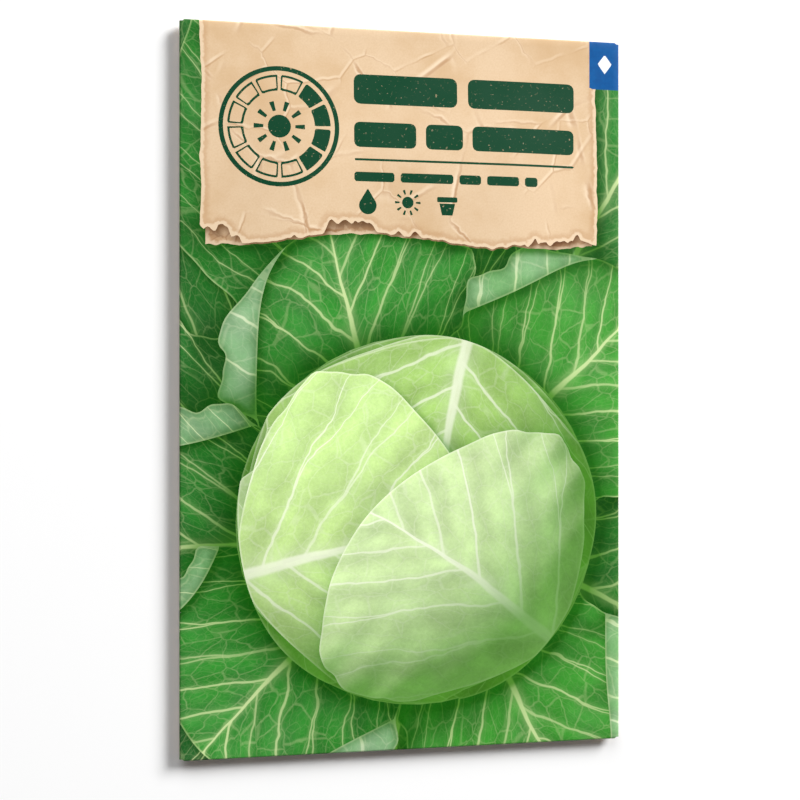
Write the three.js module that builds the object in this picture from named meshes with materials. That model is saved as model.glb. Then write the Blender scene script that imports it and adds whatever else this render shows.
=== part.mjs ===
// A flat paper seed packet lying on its back: one folded and glued sheet of printed paper, with
// a folded glassine bag of round cabbage seeds inside it. Millimetres, +Z up.
//
// X runs across the packet, +Y runs from its bottom edge to its top edge, and +Z points out of the
// printed front. The origin is under the middle of the packet, on the surface that it lies on.
import * as THREE from "three";

// The folded packet.
const WIDTH = 100;
const HEIGHT = 160;
const THICKNESS = 4.5; // over the belly, where the bag of seeds fills the packet
const PAPER = 0.2;
const FOLD_RADIUS = 0.35; // of the middle of the sheet
const RIM_BACK = 1.7; // height of the back panel's sheet along the packet's rim
const RIM_FRONT = 3.0; // height of the front panel's sheet along the rim
const RISE_ACROSS = 28; // the belly rises over this distance from a side fold
const RISE_ALONG = 36; // and over this distance from an end fold

// The flaps that close it, and the glue between the layers.
const SEAM_FLAP = 14; // folded in from the left side, under the back panel
const BACK_EDGE = 3; // the back panel stops this far from the left side
const BOTTOM_FLAP = 15;
const CLOSING_FLAP = 19;
const FLAP_HALF_WIDTH = 49; // at the end fold
const FLAP_TAPER = 0.07; // share of its width that a flap loses towards its free edge
const GLUE = 0.1;
const CLEARANCE = 0.08; // left between layers that touch
const LAYER = PAPER + GLUE + 2 * CLEARANCE; // from one sheet's middle to the next one's

// The bag of seeds.
const BAG_WIDTH = 60;
const BAG_LENGTH = 84;
const BAG_BOTTOM = -72; // where its folded bottom lies, along Y
const BAG_FILM = 0.1;
const BAG_CAVITY = 2.15; // clear height inside
const BAG_CRIMP = 0.1; // what is left between the films along the pressed edges
const BAG_RISE = 14; // the cavity opens over this distance from an edge
const SEEDS = 40;
const SEED_RADIUS = 0.95;
const SEED_SPREAD = 2.05; // how loosely the seeds lie, in a spiral of this pitch
const SEED_HEAP_Y = -29; // the middle of the heap, along Y

const PANEL_X = WIDTH / 2 - PAPER / 2 - FOLD_RADIUS; // where the side folds start
const PANEL_Y = HEIGHT / 2 - PAPER / 2 - FOLD_RADIUS; // where the end folds start
const GOLDEN_ANGLE = Math.PI * (3 - Math.sqrt(5));

const mix = (a, b, share) => a + (b - a) * share;

// From 0 to 1, with a level start and end.
function ease(share) {
  const t = Math.min(Math.max(share, 0), 1);
  return t * t * (3 - 2 * t);
}

// 0 along the packet's rim and 1 over its flat middle.
function belly(x, y) {
  return ease((PANEL_X - Math.abs(x)) / RISE_ACROSS) * ease((PANEL_Y - Math.abs(y)) / RISE_ALONG);
}

const frontHeight = (x, y) => mix(RIM_FRONT, THICKNESS - PAPER / 2, belly(x, y));
const backHeight = (x, y) => mix(RIM_BACK, PAPER / 2, belly(x, y));

// Evenly spaced values from a to b, both included.
function spaced(a, b, steps) {
  return Array.from({ length: steps + 1 }, (_, i) => mix(a, b, i / steps));
}

// Grid values over a panel, close together where the belly rises and far apart in its flat middle.
function panelSteps(half, rise, finely, coarsely) {
  const edge = spaced(half - rise, half, finely);
  const middle = spaced(rise - half, half - rise, coarsely).slice(1, -1);
  return [...edge.map((v) => -v).reverse(), ...middle, ...edge];
}

// The sheet's way round a fold: how far out it is, how far down, and how far it has turned,
// at a distance past the fold's start. It drops by `drop` in all and comes back underneath.
function roundFold(distance, drop) {
  const quarter = (Math.PI / 2) * FOLD_RADIUS;
  const wall = drop - 2 * FOLD_RADIUS;
  if (distance < quarter) {
    const angle = distance / FOLD_RADIUS;
    return { out: FOLD_RADIUS * Math.sin(angle), down: FOLD_RADIUS * (1 - Math.cos(angle)), angle };
  }
  if (distance < quarter + wall) {
    return { out: FOLD_RADIUS, down: FOLD_RADIUS + distance - quarter, angle: Math.PI / 2 };
  }
  if (distance < 2 * quarter + wall) {
    const turned = (distance - quarter - wall) / FOLD_RADIUS;
    const down = FOLD_RADIUS + wall + FOLD_RADIUS * Math.sin(turned);
    return { out: FOLD_RADIUS * Math.cos(turned), down, angle: Math.PI / 2 + turned };
  }
  return { out: 2 * quarter + wall - distance, down: drop, angle: Math.PI };
}

const foldLength = (drop) => Math.PI * FOLD_RADIUS + drop - 2 * FOLD_RADIUS;

// A closed solid of even thickness on a grid of the flat sheet. `has(s, t)` says whether the cell
// centred there is part of the cut sheet, and `place(s, t)` gives the middle of the folded sheet
// there, with the direction that its printed side faces.
function thickSheet({ across, along, has, place, thickness }) {
  const positions = [];
  const faces = [];
  const numbers = new Map();
  const cell = (i, j) =>
    i >= 0 && j >= 0 && i < across.length - 1 && j < along.length - 1 &&
    has((across[i] + across[i + 1]) / 2, (along[j] + along[j + 1]) / 2);

  // The number of a grid point's printed-side vertex. The next number is its other side.
  function vertex(i, j) {
    const key = `${i},${j}`;
    if (!numbers.has(key)) {
      const { point, normal } = place(across[i], along[j]);
      numbers.set(key, positions.length / 3);
      for (const side of [0.5, -0.5]) {
        positions.push(...point.clone().addScaledVector(normal, side * thickness).toArray());
      }
    }
    return numbers.get(key);
  }

  // A wall along the sheet's cut edge from a to b, with the sheet on its left.
  function wall(a, b) {
    faces.push(a, a + 1, b, b, a + 1, b + 1);
  }

  for (let i = 0; i < across.length - 1; i++) {
    for (let j = 0; j < along.length - 1; j++) {
      if (!cell(i, j)) continue;
      const corners = [vertex(i, j), vertex(i + 1, j), vertex(i + 1, j + 1), vertex(i, j + 1)];
      const [a, b, c, d] = corners;
      faces.push(a, b, c, a, c, d);
      faces.push(a + 1, c + 1, b + 1, a + 1, d + 1, c + 1);
      if (!cell(i, j - 1)) wall(a, b);
      if (!cell(i + 1, j)) wall(b, c);
      if (!cell(i, j + 1)) wall(c, d);
      if (!cell(i - 1, j)) wall(d, a);
    }
  }
  const geometry = new THREE.BufferGeometry();
  geometry.setAttribute("position", new THREE.Float32BufferAttribute(positions, 3));
  geometry.setIndex(faces);
  geometry.computeVertexNormals();
  return geometry;
}

// The packet's sheet. The blank is flat, with s across it and t along it, both from the middle of
// the front panel. Past the right side fold comes the back panel, past the left one the seam flap,
// and past the end folds the bottom flap and the closing flap.
const DROP_RIGHT = RIM_FRONT - RIM_BACK;
const DROP_LEFT = DROP_RIGHT - LAYER;
const DROP_END = DROP_RIGHT + LAYER;

function placeAcross(s, t) {
  const side = Math.sign(s);
  const { out, down, angle } = roundFold(Math.abs(s) - PANEL_X, side > 0 ? DROP_RIGHT : DROP_LEFT);
  const x = side * (PANEL_X + out);
  const underneath = angle === Math.PI;
  const layer = side > 0 ? 0 : LAYER;
  const z = underneath ? backHeight(x, t) + layer : RIM_FRONT - down;
  const normal = new THREE.Vector3(side * Math.sin(angle), 0, Math.cos(angle));
  return { point: new THREE.Vector3(x, t, z), normal };
}

function placeAlong(s, t) {
  const end = Math.sign(t);
  const past = Math.abs(t) - PANEL_Y;
  const length = end > 0 ? CLOSING_FLAP : BOTTOM_FLAP;
  const { out, down, angle } = roundFold(past, DROP_END);
  const underneath = angle === Math.PI;
  const x = underneath ? s * (1 - (FLAP_TAPER * (past - foldLength(DROP_END))) / length) : s;
  const y = end * (PANEL_Y + out);
  const z = underneath ? backHeight(x, y) - LAYER : RIM_FRONT - down;
  const normal = new THREE.Vector3(0, end * Math.sin(angle), Math.cos(angle));
  return { point: new THREE.Vector3(x, y, z), normal };
}

function placeOnPacket(s, t) {
  if (Math.abs(t) > PANEL_Y) return placeAlong(s, t);
  if (Math.abs(s) > PANEL_X) return placeAcross(s, t);
  return { point: new THREE.Vector3(s, t, frontHeight(s, t)), normal: new THREE.Vector3(0, 0, 1) };
}

// Grid values round a fold, as distances past its start.
function foldSteps(drop) {
  const quarter = (Math.PI / 2) * FOLD_RADIUS;
  const wall = drop - 2 * FOLD_RADIUS;
  return [...spaced(0, quarter, 3), ...spaced(quarter + wall, 2 * quarter + wall, 3)];
}

// Grid values round a fold and on over a panel or flap of this length, measured from a blank's
// middle. `stops` are the distances inwards from the fold where the panel has its grid lines.
function foldedSteps(start, drop, stops) {
  return [...foldSteps(drop), ...stops.map((d) => d + foldLength(drop))].map((d) => start + d);
}

function packetSheet() {
  const panelX = panelSteps(PANEL_X, RISE_ACROSS, 7, 3);
  const panelY = panelSteps(PANEL_Y, RISE_ALONG, 8, 4);
  const backEdge = WIDTH / 2 - BACK_EDGE;
  const backStops = [...panelX.slice(1, -1).filter((x) => x < backEdge), backEdge];
  const seamStops = spaced(0, SEAM_FLAP - (WIDTH / 2 - PANEL_X), 4).slice(1);
  const left = foldedSteps(PANEL_X, DROP_LEFT, seamStops).map((s) => -s);
  const right = foldedSteps(PANEL_X, DROP_RIGHT, backStops.map((x) => x + PANEL_X));
  const bottom = foldedSteps(PANEL_Y, DROP_END, spaced(0, BOTTOM_FLAP, 4).slice(1)).map((t) => -t);
  const top = foldedSteps(PANEL_Y, DROP_END, spaced(0, CLOSING_FLAP, 5).slice(1));
  const front = [...panelX.slice(1, -1), -FLAP_HALF_WIDTH, FLAP_HALF_WIDTH];
  return thickSheet({
    across: [...left, ...front, ...right].sort((a, b) => a - b),
    along: [...bottom, ...panelY.slice(1, -1), ...top].sort((a, b) => a - b),
    has: (s, t) => Math.abs(t) < PANEL_Y || Math.abs(s) < FLAP_HALF_WIDTH,
    place: placeOnPacket,
    thickness: PAPER,
  });
}

// A strip of glue in the gap above or below the back panel, from corner (x0, y0) to (x1, y1).
function glueStrip([x0, y0], [x1, y1], above) {
  const away = (above ? 1 : -1) * (LAYER / 2);
  const steps = (a, b) => Math.round((b - a) / 3.5);
  return thickSheet({
    across: spaced(x0, x1, steps(x0, x1)),
    along: spaced(y0, y1, steps(y0, y1)),
    has: () => true,
    place: (x, y) => ({
      point: new THREE.Vector3(x, y, backHeight(x, y) + away),
      normal: new THREE.Vector3(0, 0, 1),
    }),
    thickness: GLUE,
  });
}

// The bag: a film folded at its bottom, one leaf lying on the packet's back panel and the other
// over the seeds. t runs from the lower leaf's top edge, round the fold, to the upper leaf's.
const BAG_FLOOR = PAPER / 2 + CLEARANCE + BAG_FILM / 2; // above the middle of the back panel
const BAG_MIDDLE_Y = BAG_BOTTOM + BAG_LENGTH / 2;

function bagGap(x, y) {
  const openAcross = ease((BAG_WIDTH / 2 - Math.abs(x)) / BAG_RISE);
  const openAlong = ease((BAG_LENGTH / 2 - Math.abs(y - BAG_MIDDLE_Y)) / BAG_RISE);
  return BAG_FILM + mix(BAG_CRIMP, BAG_CAVITY, openAcross * openAlong);
}

function placeOnBag(s, t) {
  const radius = (BAG_FILM + BAG_CRIMP) / 2;
  const bend = (Math.PI / 2) * radius;
  const inwards = Math.abs(t) - bend;
  const angle = Math.min(Math.max(t / bend, -1), 1) * (Math.PI / 2);
  const y = BAG_BOTTOM + (inwards > 0 ? inwards : -radius * Math.cos(angle));
  const floor = backHeight(s, Math.max(y, BAG_BOTTOM)) + BAG_FLOOR;
  const gap = bagGap(s, Math.max(y, BAG_BOTTOM));
  const z = floor + (gap * (1 + Math.sin(angle))) / 2;
  const normal = new THREE.Vector3(0, -Math.cos(angle), Math.sin(angle));
  return { point: new THREE.Vector3(s, y, z), normal };
}

function innerBag() {
  const bend = (Math.PI / 4) * (BAG_FILM + BAG_CRIMP);
  const leaf = spaced(bend, bend + BAG_LENGTH, 18);
  return thickSheet({
    across: spaced(-BAG_WIDTH / 2, BAG_WIDTH / 2, 14),
    along: [...leaf.map((t) => -t).reverse(), ...spaced(-bend, bend, 4).slice(1, -1), ...leaf],
    has: () => true,
    place: placeOnBag,
    thickness: BAG_FILM,
  });
}

const paper = new THREE.MeshStandardMaterial({ color: 0xd9b78c, roughness: 0.6, metalness: 0 });
const glue = new THREE.MeshStandardMaterial({ color: 0xf2eedd, roughness: 0.35, metalness: 0 });
const glassine = new THREE.MeshStandardMaterial({ color: 0xe9e6d6, roughness: 0.4, metalness: 0 });
const seedCoat = new THREE.MeshStandardMaterial({ color: 0x3b2418, roughness: 0.55, metalness: 0 });

const packet = new THREE.Group();

function add(name, geometry, material, position = [0, 0, 0]) {
  const mesh = new THREE.Mesh(geometry, material);
  mesh.name = name;
  mesh.position.set(...position);
  packet.add(mesh);
}

add("packet_sheet", packetSheet(), paper);

// The glue lines are inset from the edges of the flaps that they hold.
const GLUE_INSET = 2;
const SEAM_LEFT = -WIDTH / 2 + BACK_EDGE + GLUE_INSET;
const SEAM_RIGHT = -WIDTH / 2 + SEAM_FLAP - GLUE_INSET;
const FLAP_GLUE_X = FLAP_HALF_WIDTH * (1 - FLAP_TAPER) - GLUE_INSET;
const END_GLUE_START = PANEL_Y - GLUE_INSET;
const BOTTOM_GLUE_END = PANEL_Y - BOTTOM_FLAP + GLUE_INSET;
const CLOSING_GLUE_END = PANEL_Y - CLOSING_FLAP + GLUE_INSET;
add("seam_glue", glueStrip([SEAM_LEFT, -PANEL_Y], [SEAM_RIGHT, PANEL_Y], true), glue);
add(
  "bottom_flap_glue",
  glueStrip([-FLAP_GLUE_X, -END_GLUE_START], [FLAP_GLUE_X, -BOTTOM_GLUE_END], false),
  glue,
);
add(
  "closing_flap_glue",
  glueStrip([-FLAP_GLUE_X, CLOSING_GLUE_END], [FLAP_GLUE_X, END_GLUE_START], false),
  glue,
);

add("inner_bag", innerBag(), glassine);

// Each seed lies on the bag's lower leaf, at its own place in the spiral.
const seedHeight = PAPER / 2 + BAG_FLOOR + BAG_FILM / 2 + CLEARANCE + SEED_RADIUS;
for (let n = 0; n < SEEDS; n++) {
  const reach = SEED_SPREAD * Math.sqrt(n + 0.5);
  const x = reach * Math.cos(n * GOLDEN_ANGLE);
  const y = SEED_HEAP_Y + reach * Math.sin(n * GOLDEN_ANGLE);
  const name = `seed_${String(n + 1).padStart(2, "0")}`;
  add(name, new THREE.IcosahedronGeometry(SEED_RADIUS, 1), seedCoat, [x, y, seedHeight]);
}

export default packet;
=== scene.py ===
"""A flat paper seed packet, lying on its back, built round its CAD frame.

The packet is one printed sheet. It is made as a flat blank, cut along the outlines of its artwork,
and then folded round the way the CAD sheet is. The artwork is a rosette of leaves seen from above
under a torn kraft panel, with bars where text would be. Lengths are in millimetres until the
finished pieces are scaled to metres.
"""
import math

import bpy
import numpy as np
from mathutils import Matrix, Vector, kdtree
from mathutils.geometry import delaunay_2d_cdt


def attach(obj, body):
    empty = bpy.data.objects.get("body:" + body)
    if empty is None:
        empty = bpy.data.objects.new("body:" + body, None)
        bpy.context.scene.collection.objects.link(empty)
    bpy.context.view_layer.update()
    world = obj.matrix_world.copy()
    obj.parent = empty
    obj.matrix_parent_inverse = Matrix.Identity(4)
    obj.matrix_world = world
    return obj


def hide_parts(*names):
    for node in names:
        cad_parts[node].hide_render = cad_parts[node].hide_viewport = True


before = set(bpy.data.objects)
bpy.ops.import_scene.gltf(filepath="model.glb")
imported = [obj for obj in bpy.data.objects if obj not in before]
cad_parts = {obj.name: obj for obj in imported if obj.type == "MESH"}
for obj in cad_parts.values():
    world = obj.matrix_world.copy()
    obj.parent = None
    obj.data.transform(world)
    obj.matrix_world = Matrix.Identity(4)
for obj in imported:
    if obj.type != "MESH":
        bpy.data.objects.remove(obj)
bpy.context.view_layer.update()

MM = 0.001

# ---------------- measures, as in the CAD model

WIDTH = 100.0
HEIGHT = 160.0
THICKNESS = 4.5
PAPER = 0.2
FOLD_RADIUS = 0.35
RIM_BACK = 1.7
RIM_FRONT = 3.0
RISE_ACROSS = 28.0
RISE_ALONG = 36.0
SEAM_FLAP = 14.0
BACK_EDGE = 3.0
BOTTOM_FLAP = 15.0
CLOSING_FLAP = 19.0
FLAP_HALF_WIDTH = 49.0
FLAP_TAPER = 0.07
LAYER = 0.46

PANEL_X = WIDTH / 2 - PAPER / 2 - FOLD_RADIUS
PANEL_Y = HEIGHT / 2 - PAPER / 2 - FOLD_RADIUS
QUARTER = math.pi / 2 * FOLD_RADIUS
DROP_RIGHT = RIM_FRONT - RIM_BACK
DROP_LEFT = DROP_RIGHT - LAYER
DROP_END = DROP_RIGHT + LAYER


def fold_length(drop):
    return 2 * QUARTER + drop - 2 * FOLD_RADIUS


SEAM_EDGE = PANEL_X + fold_length(DROP_LEFT) + SEAM_FLAP - (WIDTH / 2 - PANEL_X)
BACK_FREE_EDGE = PANEL_X + fold_length(DROP_RIGHT) + PANEL_X + WIDTH / 2 - BACK_EDGE
BOTTOM_FREE_EDGE = PANEL_Y + fold_length(DROP_END) + BOTTOM_FLAP
TOP_FREE_EDGE = PANEL_Y + fold_length(DROP_END) + CLOSING_FLAP

# The front's print runs half-way down the folded edges.
ART_X = PANEL_X + QUARTER
ART_Y = PANEL_Y + QUARTER

# ---------------- folding the sheet


def ease(share):
    t = np.clip(share, 0.0, 1.0)
    return t * t * (3 - 2 * t)


def belly(x, y):
    return ease((PANEL_X - np.abs(x)) / RISE_ACROSS) * ease((PANEL_Y - np.abs(y)) / RISE_ALONG)


def slack(x, y):
    """The paper's slight unevenness, from 0 to 1, with long soft waves."""
    waves = np.sin(x / 9.1 + 0.8 * np.sin(y / 17)) * np.sin(y / 13.7 + 0.9 * np.sin(x / 15 + 1))
    slope = np.sin((x + y) / 21 + 0.5)
    return 0.5 + 0.3 * waves + 0.2 * slope


def front_height(x, y):
    rise = belly(x, y)
    top = THICKNESS - PAPER / 2 - 0.22 * slack(x, y)
    return RIM_FRONT + (top - RIM_FRONT) * rise


def back_height(x, y):
    return RIM_BACK + (PAPER / 2 - RIM_BACK) * belly(x, y)


def round_fold(distance, drop):
    """How far out, how far down and how far turned the sheet is, past the start of a fold."""
    wall = drop - 2 * FOLD_RADIUS
    first = np.clip(distance / FOLD_RADIUS, 0, math.pi / 2)
    second = np.clip((distance - QUARTER - wall) / FOLD_RADIUS, 0, math.pi / 2)
    inward = np.maximum(distance - 2 * QUARTER - wall, 0)
    out = FOLD_RADIUS * (np.sin(first) - 1 + np.cos(second)) - inward
    straight = np.clip(distance - QUARTER, 0, wall)
    down = FOLD_RADIUS * (1 - np.cos(first) + np.sin(second)) + straight
    return out, down, first + second


def folded(flat):
    """The middle of the folded sheet, and its printed side's normal, for points of the blank."""
    s, t = flat[:, 0], flat[:, 1]
    side, end = np.sign(s), np.sign(t)
    past_side = np.maximum(np.abs(s) - PANEL_X, 0)
    past_end = np.where(np.abs(s) < PANEL_X, np.maximum(np.abs(t) - PANEL_Y, 0), 0)
    at_end = past_end > 1e-4
    side_drop = np.where(side > 0, DROP_RIGHT, DROP_LEFT)
    out_x, down_x, turn_x = round_fold(past_side, side_drop)
    out_y, down_y, turn_y = round_fold(past_end, DROP_END)

    # The end flaps narrow towards their free edges.
    flap = np.where(end > 0, CLOSING_FLAP, BOTTOM_FLAP)
    narrowing = 1 - FLAP_TAPER * np.maximum(past_end - fold_length(DROP_END), 0) / flap
    x = np.where(past_side > 0, side * (PANEL_X + out_x), s)
    x = np.where(at_end, s * narrowing, x)
    y = np.where(at_end, end * (PANEL_Y + out_y), t)

    turn = np.where(at_end, turn_y, turn_x)
    down = np.where(at_end, down_y, down_x)
    under = turn > math.pi - 1e-6
    layer = np.where(at_end, -LAYER, np.where(side > 0, 0, LAYER))
    z = np.where(under, back_height(x, y) + layer, RIM_FRONT - down)
    z = np.where(turn == 0, front_height(x, y), z)
    flat_turn = np.sin(turn)
    normal_x = np.where(at_end, 0, side * flat_turn)
    normal_y = np.where(at_end, end * flat_turn, 0)
    return np.stack([x, y, z], 1), np.stack([normal_x, normal_y, np.cos(turn)], 1)


# ---------------- outlines


def srgb(red, green, blue):
    """A linear colour from its usual 0 to 255 numbers."""
    values = np.array([red, green, blue]) / 255
    return np.where(values > 0.04045, ((values + 0.055) / 1.055) ** 2.4, values / 12.92)


def towards(degrees):
    """The direction at an angle, or at each of several, turned from the right."""
    angle = np.radians(degrees)
    return np.stack([np.cos(angle), np.sin(angle)], -1)


def resampled(outline, spacing):
    """A closed outline with its points evenly spaced."""
    loop = np.vstack([outline, outline[:1]])
    length = np.r_[0, np.cumsum(np.hypot(*np.diff(loop, axis=0).T))]
    steps = max(4, round(length[-1] / spacing))
    at = np.linspace(0, length[-1], steps, endpoint=False)
    return np.stack([np.interp(at, length, loop[:, i]) for i in (0, 1)], 1)


def rounded_bar(x0, y0, x1, y1, radius):
    """A rectangle with round corners."""
    radius = min(radius, (x1 - x0) / 2, (y1 - y0) / 2)
    corners = [(x1, y1, 0), (x0, y1, 90), (x0, y0, 180), (x1, y0, 270)]
    points = []
    for x, y, start in corners:
        centre_x = x - math.copysign(radius, x - (x0 + x1) / 2)
        centre_y = y - math.copysign(radius, y - (y0 + y1) / 2)
        points.append((centre_x, centre_y) + radius * towards(start + 22.5 * np.arange(5)))
    return np.vstack(points)


def circle(x, y, radius, points=48):
    return (x, y) + radius * towards(np.linspace(0, 360, points, endpoint=False))


def sector(x, y, inner, outer, start, end):
    """Part of a ring between two angles, in degrees."""
    arc = towards(np.linspace(start, end, 9))
    return np.vstack([arc * outer, arc[::-1] * inner]) + (x, y)


def signed_distance(points, outline):
    """The distance from each point to a closed outline, negative inside it."""
    nearest = np.full(len(points), np.inf)
    inside = np.zeros(len(points), bool)
    x, y = points[:, 0], points[:, 1]
    for (ax, ay), (bx, by) in zip(outline, np.roll(outline, -1, axis=0)):
        dx, dy = bx - ax, by - ay
        share = np.clip(((x - ax) * dx + (y - ay) * dy) / (dx * dx + dy * dy + 1e-12), 0, 1)
        nearest = np.minimum(nearest, (x - ax - share * dx) ** 2 + (y - ay - share * dy) ** 2)
        if ay != by:
            crosses = (ay > y) != (by > y)
            inside ^= crosses & (x < ax + (y - ay) * dx / dy)
    return np.where(inside, -1, 1) * np.sqrt(nearest)


# ---------------- the artwork's shapes

LIGHT = np.array([-0.42, 0.48, 0.77])  # where the pictured light comes from
HEART = np.array([3.0, -29.0])  # the middle of the pictured rosette
HEART_RADIUS = 41.0


class Shape:
    """One outline of the print. It covers the shapes before it, and one with a lift shades them."""

    wax = 0.0
    spacing = 7.0
    tone = (0.0, 0.0, 0.0)

    def __init__(self, outline, material, lift=0.0, owner=None):
        self.outline = outline
        self.material = material
        self.lift = lift
        self.owner = owner

    def place(self, points):
        """Where points are across and along the shape, and how far along as a share."""
        return points[:, 0], points[:, 1], np.zeros(len(points))

    def light(self, points):
        return np.ones(len(points))


class Leaf(Shape):
    """A pictured leaf with a midrib from its base and a wavy margin."""

    def __init__(
        self, base, heading, length, width, tone, seed, spacing=10.0, wax=0.0, bend=0.0, domed=False
    ):
        chance = np.random.default_rng(seed)
        self.base = np.array(base, float)
        self.forward = towards(heading)
        self.sideways = np.array([self.forward[1], -self.forward[0]])
        self.length, self.width, self.bend = length, width, bend
        self.tone, self.wax, self.domed = tone, wax, domed
        self.waves = chance.uniform(3.5, 5.5)
        self.phases = chance.uniform(0, 2 * math.pi, 6)
        self.ripple = 0.02 if domed else 0.05
        self.ruffle = 0.45 if domed else 1.1
        self.cup = 0.0 if domed else chance.uniform(3, 6)
        self.spacing = spacing * chance.uniform(0.92, 1.08)
        super().__init__(resampled(self.margin(), 1.1), "leaf", lift=1.0)

    def body(self, share):
        """Half the leaf's width without its waves."""
        return self.width / 2 * np.sin(math.pi * np.clip(share, 0, 1) ** 1.25) ** 0.55

    def half_width(self, share, side):
        phase = np.where(side > 0, self.phases[0], self.phases[1])
        finer = np.where(side > 0, self.phases[2], self.phases[3])
        wave = np.sin(2 * math.pi * self.waves * share + phase)
        wave = wave + 0.22 * np.sin(2 * math.pi * self.waves * 2.7 * share + finer)
        return self.body(share) * (1 + self.ripple * wave * np.clip(share * 3, 0, 1))

    def margin(self):
        share = np.sin(np.linspace(0, math.pi / 2, 60)) ** 2 * 0.5
        share = np.r_[share, 1 - share[::-1][1:]]
        right = self.to_art(self.half_width(share, 1), share)
        left = self.to_art(-self.half_width(share, -1), share)
        return np.vstack([right, left[::-1][1:-1]])

    def to_art(self, across, share):
        """The art's points for places given across, in millimetres, and along, as a share."""
        bent = across + self.bend * share**2
        return self.base + np.outer(share * self.length, self.forward) + np.outer(bent, self.sideways)

    def place(self, points):
        along = (points - self.base) @ self.forward
        share = along / self.length
        across = (points - self.base) @ self.sideways - self.bend * share**2
        return across, along, share

    def height(self, points):
        """The pictured leaf's relief, which its light comes from."""
        across, along, share = self.place(points)
        reach = np.abs(across) / (self.half_width(share, across) + 4)
        phase = np.where(across > 0, self.phases[4], self.phases[5])
        ruffle = np.sin(2 * math.pi * self.waves * 1.3 * share + phase) * np.clip(reach, 0, 1) ** 3
        relief = self.cup * reach**2 + self.ruffle * ruffle + self.cup * np.sin(math.pi * share)
        relief = relief + 0.5 * np.exp(-((across / 2.2) ** 2)) * (1 - share)
        if self.domed:
            away = np.sum((points - HEART) ** 2, 1)
            relief = relief + np.sqrt(np.maximum((HEART_RADIUS * 1.12) ** 2 - away, 20))
        return relief

    def light(self, points):
        step = 0.4
        here = self.height(points)
        slope_x = (self.height(points + (step, 0)) - here) / step
        slope_y = (self.height(points + (0, step)) - here) / step
        length = np.sqrt(slope_x**2 + slope_y**2 + 1)
        facing = (-slope_x * LIGHT[0] - slope_y * LIGHT[1] + LIGHT[2]) / length
        return np.clip(1 + 0.85 * (facing - LIGHT[2]), 0.42, 1.25)


class Lip(Shape):
    """The rolled-over margin of a leaf, which shows the waxy back of it."""

    def __init__(self, leaf, side, start, end, width):
        self.leaf = leaf
        self.tone = 0.6 * np.array(leaf.tone) + 0.4 * srgb(160, 196, 150)
        self.wax = 0.7
        self.spacing = leaf.spacing
        share = np.linspace(start, end, 40)
        edge = leaf.half_width(share, side)
        roll = width * np.sin(np.linspace(0, math.pi, 40)) ** 0.9
        outer = leaf.to_art(side * edge, share)
        inner = leaf.to_art(side * np.minimum(edge - 0.25 * roll, leaf.body(share) - roll), share)
        super().__init__(resampled(np.vstack([outer, inner[::-1][1:-1]]), 0.9), "leaf", lift=1.0)

    def place(self, points):
        across, along, share = self.leaf.place(points)
        return across * 0.8 + 9, along, share

    def light(self, points):
        """A roll is brightest along its middle, and darker where it turns under."""
        inside = -signed_distance(points, self.outline)
        return 0.72 + 0.4 * ease(inside / 2.4)


def far_leaves():
    """The dark leaves that fill the picture to its edges."""
    tones = [srgb(30, 118, 36), srgb(20, 98, 30), srgb(38, 130, 40)]
    # Each is a heading, a length and a width.
    spreads = [
        (117, 130, 96), (84, 128, 90), (252, 90, 80), (150, 96, 84), (18, 92, 80), (58, 112, 88),
        (318, 92, 76), (205, 92, 78), (100, 112, 78), (170, 84, 70), (285, 82, 72), (350, 84, 70),
    ]
    return [
        Leaf(
            HEART + 16 * towards(heading), heading, length, width,
            tones[number % 3], seed=number, spacing=11.5, wax=0.1, bend=-9 + 6 * (number % 4),
        )
        for number, (heading, length, width) in enumerate(spreads)
    ]


def near_leaves():
    """The half-open leaves round the heart, some with rolled waxy margins."""
    tones = [srgb(48, 142, 44), srgb(36, 126, 38), srgb(64, 156, 50)]
    # Each is a heading, and its rolls as (side, start, end, width).
    plan = [
        (112, [(-1, 0.36, 0.97, 9.0)]),
        (338, [(-1, 0.5, 0.95, 6.0)]),
        (42, [(-1, 0.4, 0.93, 8.0), (1, 0.62, 0.97, 5.0)]),
        (262, []),
        (188, [(1, 0.34, 0.9, 8.5)]),
        (300, [(-1, 0.45, 0.96, 8.0)]),
        (225, [(1, 0.4, 0.8, 6.0), (-1, 0.38, 0.96, 9.0)]),
    ]
    shapes = []
    for number, (heading, rolls) in enumerate(plan):
        leaf = Leaf(
            HEART + 12 * towards(heading), heading, 57 + 3 * (number % 3), 62 - 4 * (number % 2),
            tones[number % 3], seed=20 + number, spacing=8.5, wax=0.1, bend=5 - 3 * (number % 4),
        )
        shapes.append(leaf)
        shapes.extend(Lip(leaf, *roll) for roll in rolls)
    return shapes


def clipped_to_heart(leaf):
    """Keeps a leaf of the heart inside the heart's round outline."""
    offset = leaf.outline - HEART
    reach = np.hypot(*offset.T)
    angle = np.arctan2(offset[:, 1], offset[:, 0])
    edge = HEART_RADIUS * (1 + 0.012 * np.sin(5 * angle + 1))
    keep = np.minimum(reach, edge) / np.maximum(reach, 1e-6)
    leaf.outline = resampled(HEART + offset * keep[:, None], 1.0)
    return leaf


def heart_leaves():
    """The pale leaves wrapped over the heart, from its rim inwards."""
    tones = [srgb(168, 208, 112), srgb(194, 226, 142), srgb(208, 234, 168)]
    # Each is where it starts on the heart's rim, as an angle, with its length and width.
    wraps = [(20, 67, 92), (140, 69, 94), (262, 67, 90), (75, 58, 82), (196, 56, 79), (318, 52, 74)]
    shapes = []
    for number, (angle, length, width) in enumerate(wraps):
        leaf = Leaf(
            HEART + (HEART_RADIUS + 1) * towards(angle), angle + 180, length, width,
            tones[number % 3], seed=40 + number, spacing=10.5, wax=0.14, bend=(-1) ** number * 6,
            domed=True,
        )
        shapes.append(clipped_to_heart(leaf))
    return shapes


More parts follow.
